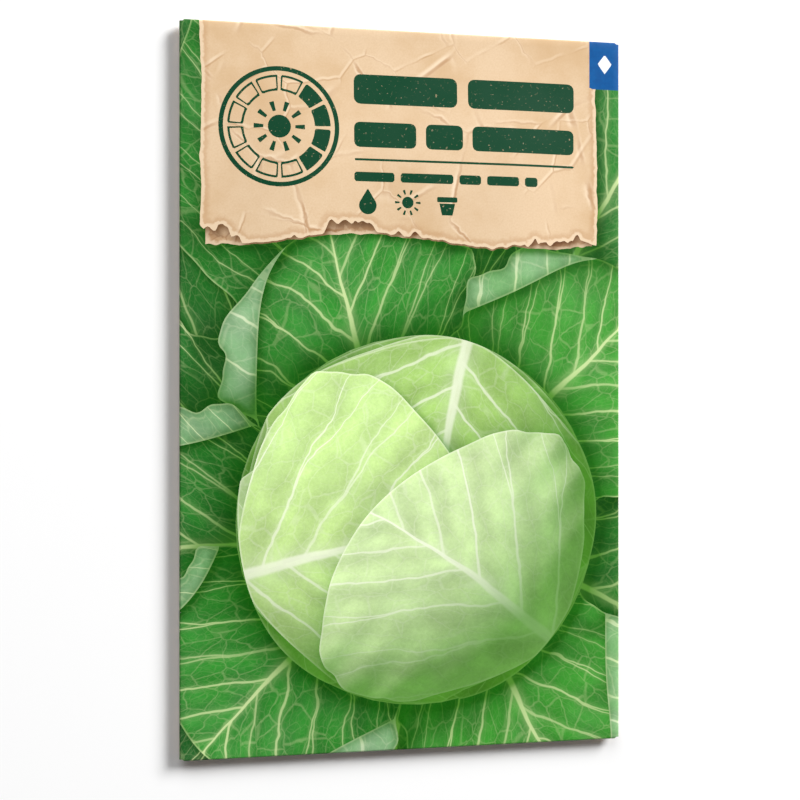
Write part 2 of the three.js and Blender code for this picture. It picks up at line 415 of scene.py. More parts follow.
def heart_base():
    """The round leaf under all the heart's wrapped ones."""
    leaf = Leaf(
        HEART - (0, HEART_RADIUS), 90, 2 * HEART_RADIUS, 2 * HEART_RADIUS,
        tone=srgb(168, 202, 112), seed=39, wax=0.1, domed=True,
    )
    leaf.outline = resampled(circle(*HEART, HEART_RADIUS), 1.0)
    return leaf


# ---------------- the kraft panel and what is on it

PANEL_LEFT, PANEL_RIGHT = -45.5, 44.5
PANEL_LOW = 33.0
TEXT_LEFT, TEXT_RIGHT = -12.0, 39.0
DIAL = (-28.5, 57.5)


def torn(points, amount, seed):
    """Pushes the points of a line about, as a tear does, with steps of several sizes."""
    chance = np.random.default_rng(seed)
    count = len(points)
    at = np.linspace(0, 1, count)
    push = np.zeros(count)
    for knots, share in ((7, 1.0), (19, 0.55), (55, 0.35), (140, 0.2)):
        push += share * np.interp(at, np.linspace(0, 1, knots), chance.uniform(-1, 1, knots))
    return push * amount


def kraft_panels():
    """Two sheets that hang from the top edge: a crumpled one under, and the one that is printed on.

    Both are torn along the bottom, and the upper one is torn off higher, by a varying amount.
    """
    across = np.linspace(PANEL_LEFT, PANEL_RIGHT, 260)
    low = PANEL_LOW + 0.9 * np.sin(across / 11 + 2.2) + torn(across, 0.75, 3)
    under = np.stack([across, low], 1)[3:-3]
    under_top = np.stack([across, np.full(len(across), PANEL_LOW + 12)], 1)[3:-3]
    lower = Shape(resampled(np.vstack([under, under_top[::-1]]), 0.5), "kraft", lift=0.8)
    lower.wax = 1.0

    gap = 0.35 + 4.4 * np.clip(0.3 + torn(across, 0.85, 17), 0, 1) * ease((PANEL_RIGHT - across) / 6)
    bottom = np.stack([across, low + gap], 1)
    up = np.linspace(PANEL_LOW + 2.5, ART_Y + 2, 70)
    right = np.stack([PANEL_RIGHT + torn(up, 0.3, 5), up], 1)
    left = np.stack([PANEL_LEFT + torn(up, 0.3, 8), up], 1)
    upper = Shape(resampled(np.vstack([bottom, right, left[::-1]]), 0.5), "kraft", lift=0.9)
    return [lower, upper]


def words(lengths, low, high, gap):
    """A row of bars in place of a line of words, from the text's left edge."""
    bars = []
    x = TEXT_LEFT
    for length in lengths:
        bars.append(rounded_bar(x, low, x + length, high, 0.22 * (high - low)))
        x += length + gap
    return bars


def sun(x, y, radius):
    outlines = [circle(x, y, radius * 0.45, 28)]
    for turn in range(10):
        angle = 36 * turn
        outlines.append(sector(x, y, radius * 0.62, radius, angle - 5.5, angle + 5.5))
    return outlines


def drop(x, y, radius):
    angle = np.linspace(-0.5 * math.pi - 2.25, -0.5 * math.pi + 2.25, 24)
    round_part = np.stack([x + radius * 0.68 * np.cos(angle), y + radius * (0.68 * np.sin(angle) - 0.3)], 1)
    return [np.vstack([round_part, [(x, y + radius)]])]


def pot(x, y, radius):
    rim = rounded_bar(x - radius * 0.8, y + radius * 0.1, x + radius * 0.8, y + radius * 0.5, 0.2)
    bowl = [(-0.62, 0.0), (-0.42, -0.9), (0.42, -0.9), (0.62, 0.0)]
    return [rim, np.array([(x + radius * a, y + radius * b) for a, b in bowl])]


def month_dial(x, y, outer):
    """Twelve parts of a ring, some filled, round a sun, as a plain sowing calendar."""
    ring = [circle(x, y, outer, 72)]
    holes = [circle(x, y, outer - 1.0, 72)]
    filled = (1, 2, 3, 4)
    for month in range(12):
        start = 90 - 30 * month
        part = sector(x, y, outer - 5.4, outer - 1.9, start - 28, start - 2)
        ring.append(part)
        if month not in filled:
            holes.append(sector(x, y, outer - 4.9, outer - 2.4, start - 26, start - 4))
    return ring, holes


def panel_shapes():
    shapes = kraft_panels()
    panel = shapes[-1]

    def print_on(outlines, material="ink", spacing=0.6):
        owner = panel if material == "kraft" else None
        shapes.extend(Shape(resampled(o, spacing), material, owner=owner) for o in outlines)

    ring, holes = month_dial(*DIAL, 13.2)
    print_on(ring[:1])
    print_on(holes[:1], "kraft")
    print_on(ring[1:])
    print_on(holes[1:], "kraft")
    print_on(sun(*DIAL, 5.6), spacing=0.35)
    print_on(words([23.5, 25.0], 63.2, 69.8, 2.5))
    print_on(words([14.0, 8.5, 24.0], 53.6, 59.2, 2.2))
    print_on([rounded_bar(TEXT_LEFT, 50.6, TEXT_RIGHT, 51.1, 0.2)])
    print_on(words([9.0, 12.0, 5.0, 7.5, 3.0], 46.0, 48.1, 1.4))
    for step, draw in enumerate((drop, sun, pot)):
        print_on(draw(TEXT_LEFT + 3 + 9 * step, 41.6, 2.9), spacing=0.3)
    return shapes


def tab_shapes():
    """A plain blue tab in the top right corner."""
    tab = rounded_bar(42.8, 69.0, ART_X + 3, ART_Y + 3, 0.3)
    mark = np.array([(46.5, 72.6), (48.2, 74.8), (46.5, 77.0), (44.8, 74.8)])
    return [Shape(resampled(tab, 1.0), "tab"), Shape(resampled(mark, 0.6), "mark")]


def front_shapes():
    leaves = far_leaves() + near_leaves() + [heart_base()] + heart_leaves()
    return leaves + panel_shapes() + tab_shapes()


def on_back(outline):
    """Moves an outline from the back as it is looked at to its place on the blank."""
    turned = outline.copy()
    turned[:, 0] = PANEL_X + fold_length(DROP_RIGHT) + PANEL_X + outline[:, 0]
    return turned[::-1]


def back_shapes():
    """Bars in place of lines of text, and a plain sowing calendar."""
    outlines = [rounded_bar(-38, 47, -4, 51.5, 0.8), rounded_bar(-1.5, 47, 21, 51.5, 0.8)]
    for row in range(9):
        y = 40 - 3.4 * row
        end = 38 - (11 * (row * 5 % 7)) / 3
        x = -38.0
        for word in range(12):
            length = 4 + (word * 7 + row * 5) % 6
            if x + length > end:
                break
            outlines.append(rounded_bar(x, y, x + length, y + 1.2, 0.3))
            x += length + 1.1
    for month in range(12):
        for row, filled in enumerate(((2, 3, 4), (7, 8, 9, 10))):
            x = -37 + 6.2 * month
            y = -8 - 6.2 * row
            if month in filled:
                outlines.append(rounded_bar(x, y, x + 5.4, y + 5.2, 0.5))
            else:
                outlines.append(rounded_bar(x + 2.2, y + 2.1, x + 3.2, y + 3.1, 0.5))
    for step, draw in enumerate((sun, drop, pot)):
        outlines.extend(draw(-31 + 15 * step, -28, 4.2))
    return [Shape(resampled(on_back(o), 0.9), "back_ink") for o in outlines]


# ---------------- cutting the blank along the shapes

FRONT_SPACING = 1.3
BACK_SPACING = 2.6
FRONT_CLEARANCE = 0.5
BACK_CLEARANCE = 0.9


def blank_end(side, free_edge):
    """One end of the blank's cut edge, from the seam's flap along the end's own flap to the back."""
    half, notch, corner = FLAP_HALF_WIDTH, FLAP_HALF_WIDTH + 0.35, FLAP_HALF_WIDTH - 2.5
    points = [
        (-SEAM_EDGE, PANEL_Y - 3), (-PANEL_X - fold_length(DROP_LEFT), PANEL_Y), (-notch, PANEL_Y),
        (-half, PANEL_Y + 0.3), (-half, free_edge - 2.5), (-corner, free_edge), (corner, free_edge),
        (half, free_edge - 2.5), (half, PANEL_Y + 0.3), (notch, PANEL_Y), (BACK_FREE_EDGE, PANEL_Y),
    ]
    return np.array(points) * (1, side)


def blank_outline():
    """The blank's cut edge: the front and back in a row, the seam's flap, and two end flaps."""
    return np.vstack([blank_end(-1, BOTTOM_FREE_EDGE), blank_end(1, TOP_FREE_EDGE)[::-1]])


def fold_stops(start, drop):
    """Where the sheet is creased into short steps round a fold."""
    wall = drop - 2 * FOLD_RADIUS
    arc = np.linspace(0, QUARTER, 5)
    return start + np.unique(np.round(np.r_[arc, QUARTER + wall + arc], 5))


def lattice(xs, ys):
    return np.stack(np.meshgrid(xs, ys, indexing="ij"), -1).reshape(-1, 2)


def spread(low, high, spacing):
    """Evenly spaced values between two ends, without them."""
    return np.linspace(low, high, round(abs(high - low) / spacing) + 1)[1:-1]


def in_front(points):
    return (np.abs(points[:, 0]) < ART_X) & (np.abs(points[:, 1]) < ART_Y)


class Cutting:
    """Points and cut lines for the triangulation of the blank."""

    def __init__(self):
        self.points = []
        self.lines = []
        self.count = 0

    def add_line(self, points, closed):
        numbers = np.arange(self.count, self.count + len(points))
        pairs = np.stack([numbers, np.roll(numbers, -1)], 1)
        self.lines.append(pairs if closed else pairs[:-1])
        self.add_points(points)

    def add_points(self, points):
        self.points.append(points)
        self.count += len(points)

    def add_shape(self, shape, inside):
        """The part of a shape's outline that lies on its side of the blank."""
        outline = shape.outline
        numbers = np.full(len(outline), -1)
        wanted = inside(outline)
        wanted = wanted | np.roll(wanted, 1) | np.roll(wanted, -1)
        numbers[wanted] = self.count + np.arange(wanted.sum())
        pairs = np.stack([numbers, np.roll(numbers, -1)], 1)
        self.lines.append(pairs[(pairs >= 0).all(1)])
        self.add_points(outline[wanted])

    def fill(self, candidates, clearance):
        """Adds the candidate points that are clear of what is there."""
        taken = np.vstack(self.points)
        tree = kdtree.KDTree(len(taken))
        for number, (x, y) in enumerate(taken):
            tree.insert((x, y, 0), number)
        tree.balance()
        clear = [tree.find((x, y, 0))[2] > clearance for x, y in candidates]
        self.add_points(candidates[clear])


def fold_lines(cutting):
    sides = [(-1, DROP_LEFT), (1, DROP_RIGHT)]
    rows = np.r_[-PANEL_Y, spread(-PANEL_Y, PANEL_Y, FRONT_SPACING), PANEL_Y]
    for side, drop in sides:
        for stop in fold_stops(PANEL_X, drop):
            cutting.add_line(lattice([side * stop], rows), closed=False)
    columns = spread(-FLAP_HALF_WIDTH, FLAP_HALF_WIDTH, FRONT_SPACING)
    columns = np.r_[-FLAP_HALF_WIDTH, columns, FLAP_HALF_WIDTH]
    for end in (-1, 1):
        for stop in fold_stops(PANEL_Y, DROP_END):
            cutting.add_line(lattice(columns, [end * stop]), closed=False)


def parts_of_the_blank():
    """Each part's ends in x and in y, how far apart its points are, and how clear of other points."""
    whole_height = (-PANEL_Y, PANEL_Y)
    flap_width = (-FLAP_HALF_WIDTH, FLAP_HALF_WIDTH)
    back_start = PANEL_X + fold_length(DROP_RIGHT)
    seam_start = PANEL_X + fold_length(DROP_LEFT)
    flap_start = PANEL_Y + fold_length(DROP_END)
    return [
        ((-PANEL_X, PANEL_X), whole_height, FRONT_SPACING, FRONT_CLEARANCE),
        ((back_start, BACK_FREE_EDGE), whole_height, BACK_SPACING, BACK_CLEARANCE),
        ((-seam_start, -SEAM_EDGE), whole_height, BACK_SPACING, BACK_CLEARANCE),
        (flap_width, (flap_start, TOP_FREE_EDGE), BACK_SPACING, BACK_CLEARANCE),
        (flap_width, (-flap_start, -BOTTOM_FREE_EDGE), BACK_SPACING, BACK_CLEARANCE),
    ]


def cut_blank(front, back):
    """Triangles of the flat blank, cut along every fold and every outline of the print."""
    edge = blank_outline()
    cutting = Cutting()
    cutting.add_line(resampled_by_side(edge, BACK_SPACING), closed=True)
    fold_lines(cutting)
    for shape in front:
        cutting.add_shape(shape, in_front)
    for shape in back:
        cutting.add_shape(shape, lambda points: ~in_front(points))
    for (left, right), (start, end), spacing, clearance in parts_of_the_blank():
        cutting.fill(lattice(spread(left, right, spacing), spread(start, end, spacing)), clearance)

    points = [Vector(p) for p in np.vstack(cutting.points).tolist()]
    lines = np.vstack(cutting.lines).tolist()
    made = delaunay_2d_cdt(points, lines, [], 0, 1e-4, False)
    flat = np.array([tuple(p) for p in made[0]])
    triangles = np.array([f for f in made[2] if len(f) == 3])
    middles = flat[triangles].mean(1)
    kept = signed_distance(middles, edge) < 0
    a, b, c = (flat[triangles[:, i]] for i in range(3))
    area = (b[:, 0] - a[:, 0]) * (c[:, 1] - a[:, 1]) - (b[:, 1] - a[:, 1]) * (c[:, 0] - a[:, 0])
    triangles[area < 0] = triangles[area < 0][:, ::-1]
    return used_only(flat, triangles[kept & (np.abs(area) > 1e-9)])


def resampled_by_side(outline, spacing):
    """A closed outline with points added along its sides and its corners kept."""
    points = []
    for a, b in zip(outline, np.roll(outline, -1, axis=0)):
        steps = max(1, round(math.dist(a, b) / spacing))
        points.extend(a + (b - a) * step / steps for step in range(steps))
    return np.array(points)


def used_only(flat, triangles):
    """The points that some triangle uses, with the triangles renumbered."""
    used, renumbered = np.unique(triangles, return_inverse=True)
    return flat[used], renumbered.reshape(-1, 3)


# ---------------- what each corner of the print holds


def top_shapes(middles, shapes, inside):
    """The number of the last shape over each triangle, or -1."""
    top = np.full(len(middles), -1)
    for number, shape in enumerate(shapes):
        low, high = shape.outline.min(0), shape.outline.max(0)
        near = inside & (middles > low).all(1) & (middles < high).all(1)
        over = np.zeros(len(middles), bool)
        over[near] = signed_distance(middles[near], shape.outline) < 0
        top[over] = number
    return top


def shading_table(flat, shapes):
    """For each shape with a lift, how much it shades each point that it doesn't cover."""
    table = np.ones((len(shapes), len(flat)))
    towards_light = LIGHT[:2] * 2.0
    for number, shape in enumerate(shapes):
        if not shape.lift:
            continue
        low, high = shape.outline.min(0) - 14, shape.outline.max(0) + 14
        near = np.flatnonzero((flat > low).all(1) & (flat < high).all(1) & in_front(flat))
        wide = np.maximum(signed_distance(flat[near], shape.outline), 0)
        cast = signed_distance(flat[near] + towards_light * shape.lift, shape.outline)
        shade = (1 - 0.24 * np.exp(-wide / 5)) * (1 - 0.42 * ease((1.4 - cast) / 2.6))
        table[number, near] = shade
    return table


def corner_values(flat, triangles, shapes, top):
    """Values for each triangle's three corners, as rows of the arrays in a dictionary."""
    corners = flat[triangles]
    place = np.zeros((*triangles.shape, 3))
    kind = np.zeros((*triangles.shape, 3))
    tone = np.ones((*triangles.shape, 4))
    light = np.ones(triangles.shape)
    shading = shading_table(flat, shapes)
    for number, shape in enumerate(shapes):
        rows = np.flatnonzero(top == number)
        if not len(rows):
            continue
        points = corners[rows].reshape(-1, 2)
        owner = shape.owner or shape
        across, along, share = owner.place(points)
        inside = np.maximum(-signed_distance(points, owner.outline), 0)
        place[rows] = np.stack([across, along, inside], 1).reshape(-1, 3, 3)
        wax = np.full(len(points), owner.wax)
        spacing = np.full(len(points), owner.spacing)
        kind[rows] = np.stack([wax, share, spacing], 1).reshape(-1, 3, 3)
        tone[rows, :, :3] = owner.tone
        above = shading[number + 1:, triangles[rows].ravel()].prod(0)
        light[rows] = (owner.light(points) * above).reshape(-1, 3)
    return {"place": place, "kind": kind, "tone": tone, "light": light}


def bake_place(flat, corners, region):
    """Where corners lie in the bake's map: at the blank's place, scaled, from where its origin goes.

    The front panel gets the largest share of the map.
    """
    scale, origin = {
        "front": (1 / 163.0, (0.004 + 50.6 / 163, 0.5)),
        "back": (0.00355, (0.638 - 0.00355 * ART_X, 0.705)),
        "seam": (0.0022, (0.92 + 0.0022 * ART_X, 0.2)),
        "top": (0.0022, (0.745, 0.397 - 0.0022 * TOP_FREE_EDGE)),
        "bottom": (0.0022, (0.745, 0.347 - 0.0022 * -ART_Y)),
        "inner": (0.0010, (0.705, 0.13)),
    }[region]
    return flat[corners] * scale + origin


def packet_mesh():
    """The folded sheet, as one closed mesh with its print's values on its corners."""
    front, back = front_shapes(), back_shapes()
    flat, triangles = cut_blank(front, back)
    middles = flat[triangles].mean(1)
    is_front = in_front(middles)
    top = top_shapes(middles, front, is_front)
    top_back = top_shapes(middles, back, ~is_front)
    values = corner_values(flat, triangles, front, top)

    slots = list(SHEET_MATERIALS)
    material = np.array([slots.index(shape.material) for shape in front])[top]
    material[~is_front] = slots.index("back_kraft")
    material[~is_front & (top_back >= 0)] = slots.index("back_ink")

    middle, normal = folded(flat)
    outer, inner = middle + normal * PAPER / 2, middle - normal * PAPER / 2
    count = len(flat)
    edges = np.vstack([triangles[:, [0, 1]], triangles[:, [1, 2]], triangles[:, [2, 0]]])
    keys = np.sort(edges, 1) @ (count, 1)
    _, first, uses = np.unique(keys, return_index=True, return_counts=True)
    rim = edges[first[uses == 1]]
    quads = np.stack([rim[:, 0], rim[:, 0] + count, rim[:, 1] + count, rim[:, 1]], 1)

    mesh = bpy.data.meshes.new("packet")
    faces = [*triangles.tolist(), *(triangles[:, ::-1] + count).tolist(), *quads.tolist()]
    mesh.from_pydata((np.vstack([outer, inner]) * MM).tolist(), [], faces)
    indices = np.r_[
        material,
        np.full(len(triangles), slots.index("inside")),
        np.full(len(quads), slots.index("cut_edge")),
    ]
    mesh.polygons.foreach_set("material_index", indices.astype(np.int32))
    mesh.polygons.foreach_set("use_smooth", np.ones(len(faces), bool))
    write_corner_values(mesh, values, flat, triangles, quads)
    write_bake_map(mesh, flat, triangles, rim, middles, is_front)
    mesh.set_sharp_from_angle(angle=math.radians(50))
    return mesh


def write_corner_values(mesh, values, flat, triangles, quads):
    """Stores the print's values. The inner side and the cut edge hold none."""
    rest = 3 * len(triangles) + 4 * len(quads)
    kinds = {
        "place": (3, "FLOAT_VECTOR", "vector"),
        "kind": (3, "FLOAT_VECTOR", "vector"),
        "tone": (4, "FLOAT_COLOR", "color"),
        "light": (1, "FLOAT", "value"),
    }
    for name, (width, kind, field) in kinds.items():
        attribute = mesh.attributes.new(f"print_{name}", kind, "CORNER")
        data = np.r_[values[name].ravel(), np.ones(rest * width)].astype(np.float32)
        attribute.data.foreach_set(field, data)
    blank = np.zeros((2 * len(flat), 3), np.float32)
    blank[:, :2] = np.vstack([flat, flat])
    attribute = mesh.attributes.new("blank_place", "FLOAT_VECTOR", "POINT")
    attribute.data.foreach_set("vector", blank.ravel())


def write_bake_map(mesh, flat, triangles, rim, middles, is_front):
    x, y = middles.T
    regions = {
        "front": is_front,
        "back": x > ART_X,
        "seam": x < -ART_X,
        "top": y > ART_Y,
        "bottom": y < -ART_Y,
    }
    outer = np.zeros((*triangles.shape, 2))
    for region, rows in regions.items():
        outer[rows] = bake_place(flat, triangles[rows], region)
    inner = bake_place(flat, triangles[:, ::-1], "inner")
    at = np.linspace(0, 0.34, len(rim) + 1)
    strip = np.zeros((len(rim), 4, 2))
    strip[:, :, 0] = 0.64 + np.stack([at[:-1], at[:-1], at[1:], at[1:]], 1)
    strip[:, :, 1] = [0.002, 0.006, 0.006, 0.002]
    layer = mesh.uv_layers.new(name="OFBake", do_init=False)
    data = np.r_[outer.ravel(), inner.ravel(), strip.ravel()].astype(np.float32)
    layer.uv.foreach_set("vector", data)


# ---------------- materials

INK = srgb(12, 68, 42)
BACK_CRUMPLED = 0.3  # the back's creases are fainter than the front's


class Value:
    """What a node gives. Operators and methods add nodes, so that a material reads like formulas."""

    def __init__(self, graph, socket):
        self.graph = graph
        self.socket = socket

    def math(self, operation, *others):
        kind = "ShaderNodeMath" if self.socket.type == "VALUE" else "ShaderNodeVectorMath"
        return self.graph.node(kind, dict(enumerate((self, *others))), operation=operation)

    def __add__(self, other):
        return self.math("ADD", other)

    def __sub__(self, other):
        return self.math("SUBTRACT", other)

    def __mul__(self, other):
        if self.socket.type == "VALUE" or isinstance(other, tuple):
            return self.math("MULTIPLY", other)
        return self.graph.node("ShaderNodeVectorMath", {0: self, "Scale": other}, operation="SCALE")

    def __truediv__(self, other):
        return self.math("DIVIDE", other)

    def __abs__(self):
        return self.math("ABSOLUTE")

    def step(self, low, high, start=0.0, end=1.0):
        """Goes smoothly from start to end as this goes from low to high."""
        inputs = {0: self, 1: low, 2: high, 3: start, 4: end}
        return self.graph.node("ShaderNodeMapRange", inputs, interpolation_type="SMOOTHSTEP")

    def between(self, first, second):
        """The first colour where this is 0, and the second where it is 1."""
        return self.graph.mix(self, first, second)

    def mixed(self, share, other):
        """This colour with a share of another."""
        return self.graph.mix(share, self, other)

    def noise(self, scale, detail=2.0, roughness=0.5):
        inputs = {"Vector": self, "Scale": scale, "Detail": detail, "Roughness": roughness}
        return self.graph.node("ShaderNodeTexNoise", inputs, "Fac")

    def cells(self, scale, feature="DISTANCE_TO_EDGE", output="Distance"):
        inputs = {"Vector": self, "Scale": scale}
        return self.graph.node("ShaderNodeTexVoronoi", inputs, output, feature=feature)

    def warped(self, scale, amount, detail):
        """This place, pushed about by a noise."""
        push = self.noise(scale, detail)
        return self + self.graph.join(push, push, 0.0) * amount

    def split(self):
        x = self.graph.node("ShaderNodeSeparateXYZ", {0: self})
        return [Value(self.graph, output) for output in x.socket.node.outputs]


class Graph:
    """A new material and its nodes."""

    def __init__(self, name):
        self.material = bpy.data.materials.new(name)
        self.material.use_nodes = True
        self.tree = self.material.node_tree
        self.shader = self.tree.nodes["Principled BSDF"]

    def feed(self, socket, value):
        if isinstance(value, Value):
            self.tree.links.new(value.socket, socket)
        else:
            socket.default_value = (*value, 1.0) if socket.type == "RGBA" else value

    def node(self, kind, inputs, output=0, **settings):
        """Adds a node, and gives one of its outputs."""
        node = self.tree.nodes.new(kind)
        for name, value in settings.items():
            setattr(node, name, value)
        for key, value in inputs.items():
            self.feed(node.inputs[key], value)
        return Value(self, node.outputs[output])

    def mix(self, share, first, second):
        return self.node("ShaderNodeMix", {0: share, 6: first, 7: second}, 2, data_type="RGBA")

    def join(self, x, y, z):
        return self.node("ShaderNodeCombineXYZ", {0: x, 1: y, 2: z})

    def attribute(self, name, output="Vector"):
        return self.node("ShaderNodeAttribute", {}, output, attribute_name=name)

    def object_place(self):
        return self.node("ShaderNodeTexCoord", {}, "Object")

    def bump(self, height, strength, distance):
        inputs = {"Height": height, "Strength": strength, "Distance": distance}
        self.feed(self.shader.inputs["Normal"], self.node("ShaderNodeBump", inputs))

    def finish(self, colour, roughness, specular=0.14):
        self.feed(self.shader.inputs["Base Color"], colour)
        self.feed(self.shader.inputs["Roughness"], roughness)
        self.shader.inputs["Specular IOR Level"].default_value = specular
        return self.material


def finish_print(graph, blank, colour):
    """Cracks a print a little where it is folded, and gives it coated paper's fine grain and gloss."""
    x, y, _ = blank.split()
    past_fold = (abs(x) - PANEL_X).math("MAXIMUM", abs(y) - PANEL_Y)
    flakes = blank.noise(2.2, detail=5, roughness=0.75).step(0.6, 0.72)
    cracked = past_fold.step(-0.25, 0.25) * flakes * 0.55
    graph.bump(blank.noise(5.0, detail=4, roughness=0.65), 0.25, 0.00002)
    roughness = blank.noise(0.12, detail=3).step(0.3, 0.7, 0.36, 0.44)
    return graph.finish(colour.mixed(cracked, srgb(236, 236, 226)), roughness)


def vein_lines(graph, across, along, spacing):
    """Side veins that rise from the midrib, curve towards the tip and fork.

    Returns the distance to the nearest, the place between two as a share, the distance from the
    midrib, and a number of each vein's own.
    """
    side = across.math("GREATER_THAN", 0.0)
    reach = abs(across)
    curved = reach + reach * reach * 0.009
    rising = along - curved * 0.62
    fan = curved * 0.014 + 1.0
    start = rising / (fan * spacing) + side * 0.43 + 20.0
    position = start.math("FRACT")
    leaf_number = (spacing * 4.0).math("ROUND")
    seed = graph.join(start.math("FLOOR"), side, leaf_number)
    own = graph.node("ShaderNodeTexWhiteNoise", {"Vector": seed}, "Value")
    fork = (reach / spacing).step(own * 1.2 + 0.6, 4.2, 0.0, 0.25)
    apart = abs(abs(position - 0.5) - fork)
    return apart * spacing * fan, position, reach, own


def leaf_material():
    graph = Graph("printed_leaves")
    blank = graph.attribute("blank_place")
    across, along, inside = graph.attribute("print_place").split()
    wax, share, spacing = graph.attribute("print_kind").split()
    tone = graph.attribute("print_tone", "Color")
    light = graph.attribute("print_light", "Fac")

    # The veins wander a little.
    own = graph.join(across, along, spacing * 9.0)
    sway = own.noise(0.06, detail=3) - 0.5
    across = across + sway * 2.0
    along = along + sway * 8.0
    distance, position, reach, vein_own = vein_lines(graph, across, along, spacing)

    # Midrib, side veins and the net between them.
    from_rib = reach / share.step(0.0, 0.95, 1.3, 0.22)
    rib = from_rib.step(1.25, 0.55)
    rib_glow = from_rib.step(4.5, 0.8)
    from_vein = distance / (reach / spacing).step(0.0, 3.6, 0.46, 0.12)
    vein = from_vein.step(1.3, 0.4)
    vein_glow = from_vein.step(6.0, 0.5)
    warped = graph.join(across, along - reach * 0.6, spacing).warped(0.25, 2.4, detail=2)
    net = warped.cells(0.21).step(0.045, 0.008)
    mid_net = warped.cells(0.45).step(0.05, 0.01)
    fine_net = warped.cells(1.0).step(0.1, 0.02)

    # The lamina: each part lit on the side of its vein that faces the light, puffed and mottled.
    slope = ((position - 0.5) * (2 * math.pi)).math("SINE") * 0.1 + 1.0
    puff = warped.cells(0.21, "F1").step(0.0, 0.8, 1.06, 0.93)
    mottle = own.noise(0.1, detail=5, roughness=0.6).step(0.3, 0.7, 0.88, 1.08)
    grain = own.noise(1.6, detail=4, roughness=0.7).step(0.3, 0.7, 0.95, 1.05)
    for factor in (slope, puff, mottle, grain):
        tone = tone * factor

    # Bloom, veins and margin over it.
    bloom = own.noise(0.07, detail=4, roughness=0.6).step(0.35, 0.7, 0.2, 1.0)
    tone = tone.mixed(bloom * wax * 0.62, srgb(178, 208, 172))
    red, _, _ = tone.split()
    pale = tone.mixed(0.72, red.step(0.1, 0.4).between(srgb(238, 252, 186), srgb(253, 255, 236)))
    layers = [
        (vein_glow, 0.09), (rib_glow, 0.18), (fine_net, 0.04), (mid_net, 0.08), (net, 0.18),
        (vein, vein_own * 0.4 + 0.5), (rib, 0.92),
    ]
    for mask, strength in layers:
        tone = tone.mixed(mask * strength, pale)
    tone = tone.mixed(inside.step(0.5, 0.1, 0.0, 0.5), pale)

    # Shade turns a leaf a deeper green, and light only brightens it.
    shaded = tone * (0.14, 0.34, 0.08)
    colour = light.step(0.3, 1.02).between(shaded, tone) * light.math("MAXIMUM", 1.0)
    return finish_print(graph, blank, colour)


def kraft_colour(blank, crumpled=1.0):
    """Brown paper: mottled, with fibres both pale and dark, and crumpled a little."""
    fibre = blank.noise(2.4, detail=5, roughness=0.75)
    colour = fibre.step(0.3, 0.7).between(srgb(222, 192, 155), srgb(231, 203, 169))
    mottle = blank.noise(0.04, detail=5, roughness=0.6).step(0.38, 0.7, 0.0, 0.75)
    colour = colour.mixed(mottle, srgb(208, 172, 128))
    speck = blank.noise(1.5, detail=3, roughness=0.7).step(0.68, 0.78)
    colour = colour.mixed(speck * 0.3, srgb(176, 136, 96))

    # Creases run straight between flat facets. Each is dark on one side and pale on the other.
    bent = blank.warped(0.35, 1.6, detail=4)
    for scale, shift, depth in ((0.045, 5.0, 0.75), (0.085, 61.0, 0.5)):
        moved = bent + (shift, shift / 3, shift)
        aside = moved + (0.32, -0.32, 0.0)
        broken = moved.noise(0.07, detail=2).step(0.46, 0.62, 0.0, depth * crumpled)
        pale = aside.cells(scale).step(0.04, 0.008)
        dark = moved.cells(scale).step(0.022, 0.004)
        colour = colour.mixed(pale * broken, srgb(248, 226, 196))
        colour = colour.mixed(dark * broken, srgb(180, 134, 90))
    return colour


def kraft_material():
    graph = Graph("printed_kraft")
    blank = graph.attribute("blank_place")
    _, _, inside = graph.attribute("print_place").split()
    crumpled, _, _ = graph.attribute("print_kind").split()
    light = graph.attribute("print_light", "Fac")
    colour = kraft_colour(blank)

    # The torn sheet under the panel is crumpled into facets that catch the light differently.
    bent = blank.warped(0.5, 3.0, detail=4)
    facet, _, _ = bent.cells(0.3, "F1", "Color").split()
    crease = bent.cells(0.3).step(0.09, 0.01, 0.0, 0.5)
    depth = facet.step(0.1, 0.9, 0.0, 0.6).math("MAXIMUM", crease)
    colour = colour.mixed(depth * crumpled, srgb(140, 92, 56))

    # The torn edge shows the sheet's paler core, with a darker line behind it.
    torn_in = inside - blank.noise(0.9, detail=4) * 1.3
    core = torn_in.step(0.3, -0.2)
    behind = torn_in.step(1.6, 0.3, 0.0, 0.38)
    colour = colour.mixed(behind, srgb(186, 138, 92))
    colour = colour.mixed(core * 0.75, srgb(240, 216, 184))
    shaded = colour * (0.24, 0.15, 0.08)
    return finish_print(graph, blank, light.step(0.35, 1.0).between(shaded, colour))


def stamped_kraft(name, ink=None, crumpled=1.0):
    """Kraft, bare or under stamped ink, where it shows through in specks."""
    graph = Graph(name)
    blank = graph.attribute("blank_place")
    colour = kraft_colour(blank, crumpled)
    if ink is not None:
        bare = blank.noise(1.3, detail=6, roughness=0.72).step(0.61, 0.67, 0.0, 0.7)
        colour = bare.between(ink, colour)
    return finish_print(graph, blank, colour)


def flat_print(name, low, high):
    """One printed colour with the slight unevenness of ink on paper."""
    graph = Graph(name)
    blank = graph.attribute("blank_place")
    even = blank.noise(0.7, detail=5, roughness=0.7).step(0.3, 0.7)
    return finish_print(graph, blank, even.between(low, high))


def plain_paper(name, low, high):
    """Bare paper with its fibres and a rough surface."""
    graph = Graph(name)
    place = graph.object_place()
    fibre = place.noise(1800.0, detail=5, roughness=0.7)
    cloud = place.noise(160.0, detail=3)
    graph.bump(fibre, 0.4, 0.00003)
    colour = (fibre + cloud).step(0.7, 1.3).between(low, high)
    return graph.finish(colour, cloud.step(0.3, 0.7, 0.78, 0.9), specular=0.25)


